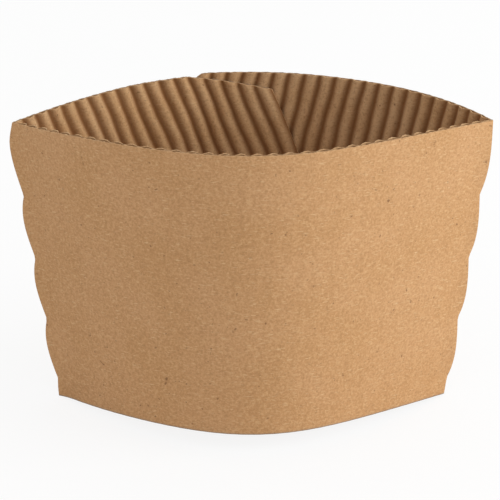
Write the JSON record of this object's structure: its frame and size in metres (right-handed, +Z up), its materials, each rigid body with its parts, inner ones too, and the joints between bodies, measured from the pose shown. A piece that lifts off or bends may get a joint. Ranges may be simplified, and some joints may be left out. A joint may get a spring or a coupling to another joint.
{
  "type": "coffee cup sleeve",
  "caption": "Kraft corrugated cardboard sleeve for a takeaway cup, creased at both sides, lapped at the back and opened to a lens.",
  "frame": {"origin": "middle of the bounding box on the surface that the sleeve stands on", "axes": "+Z up, from the narrower base edge to the rim; X from crease to crease; -Y is the side of the front panel's plain outer face"},
  "size_m": [0.102, 0.0568, 0.0682],
  "materials": {
    "kraft_board": "uncoated brown kraft"
  },
  "bodies": {
    "root": {"sleeve": "kraft_board"}
  },
  "joints": []
}
